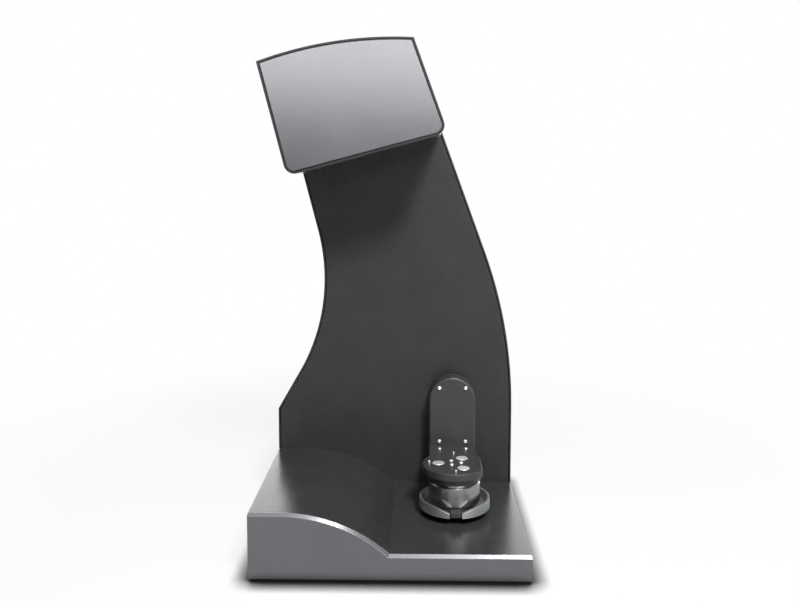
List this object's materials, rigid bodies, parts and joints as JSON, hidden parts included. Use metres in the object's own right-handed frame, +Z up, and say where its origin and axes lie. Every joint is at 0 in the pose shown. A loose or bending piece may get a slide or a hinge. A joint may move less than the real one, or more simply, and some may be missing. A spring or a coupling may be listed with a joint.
{
  "type": "desktop 3d scanner",
  "caption": "Bench 3D scanner with a low base, a curved column, an overhanging optical head and a swinging, turning stage.",
  "frame": {"origin": "on the table under the middle of the base", "axes": "+Z up, +Y from the front panel to the rear panel, +X to the right seen from the front"},
  "size_m": [0.3, 0.3, 0.5777],
  "materials": {
    "casing_paint": "satin fine texture",
    "plate_paint": "satin fine texture",
    "arm_paint": "dark anodised, satin",
    "motor_can": "satin",
    "steel": "brushed",
    "magnet": "bright",
    "machined_aluminium": "machined",
    "black_plastic": "matt",
    "lens_glass": "polished",
    "circuit_board": "solder mask",
    "rubber": "matt"
  },
  "bodies": {
    "base": {"base_bottom_plate": "steel", "base_front_panel": "plate_paint", "base_top_cover": "casing_paint", "bearing_block": "machined_aluminium", "camera_barrel_left": "black_plastic", "camera_barrel_right": "black_plastic", "camera_left": "black_plastic", "camera_lens_left": "lens_glass", "camera_lens_right": "lens_glass", "camera_right": "black_plastic", "camera_wedge_left": "machined_aluminium", "camera_wedge_right": "machined_aluminium", "column_frame": "steel", "column_front_panel": "casing_paint", "controller_board": "circuit_board", "controller_standoffs": "steel", "driver_board": "circuit_board", "driver_standoffs": "steel", "fan_frame": "black_plastic", "front_swing_bearing": "steel", "head_front_plate": "plate_paint", "head_hood": "casing_paint", "head_plate_frame": "casing_paint", "hood_joining_strip": "steel", "left_side_skin": "casing_paint", "motor_mount": "machined_aluminium", "optics_shelf": "machined_aluminium", "power_jack": "black_plastic", "projector_barrel": "black_plastic", "projector_body": "black_plastic", "projector_lens": "lens_glass", "rear_panel": "casing_paint", "rear_panel_posts": "steel", "rear_panel_screws": "steel", "rear_swing_bearing": "steel", "right_side_skin": "casing_paint", "rubber_feet": "rubber", "swing_gearbox": "machined_aluminium", "swing_motor": "black_plastic", "switch_bezel": "black_plastic", "top_skin": "casing_paint", "usb_socket": "black_plastic"},
    "arm": {"swing_shaft": "steel", "gearbox_output_shaft": "steel", "arm_bracket": "arm_paint", "arm_front_cover": "arm_paint", "arm_foot_cover": "arm_paint", "arm_cover_screws": "steel", "foot_cover_screws": "steel", "stage_motor_can": "motor_can", "guard_tray": "motor_can", "stage_bearing": "steel"},
    "stage": {"stage_disc": "arm_paint", "stage_magnets": "magnet", "hub_screws": "steel", "locating_pins": "steel", "stage_spindle": "steel"},
    "fan": {"fan_rotor": "black_plastic"},
    "switch": {"power_rocker": "black_plastic"}
  },
  "joints": [
    {"name": "arm_swing", "type": "hinge", "parent": "base", "child": "arm", "pos_m": [0.073, 0, 0.1475], "axis": [0, 1, 0], "range_deg": [-90, 90]},
    {"name": "stage_turn", "type": "hinge", "parent": "arm", "child": "stage", "pos_m": [0.073, -0.038, 0.0905], "axis": [0, 0, 1], "continuous": true},
    {"name": "fan_spin", "type": "hinge", "parent": "base", "child": "fan", "pos_m": [-0.05, 0.137, 0.5], "axis": [0, 1, 0], "continuous": true},
    {"name": "power_switch", "type": "hinge", "parent": "base", "child": "switch", "pos_m": [-0.06, 0.144, 0.062], "axis": [1, 0, 0], "range_deg": [0, 20]}
  ]
}
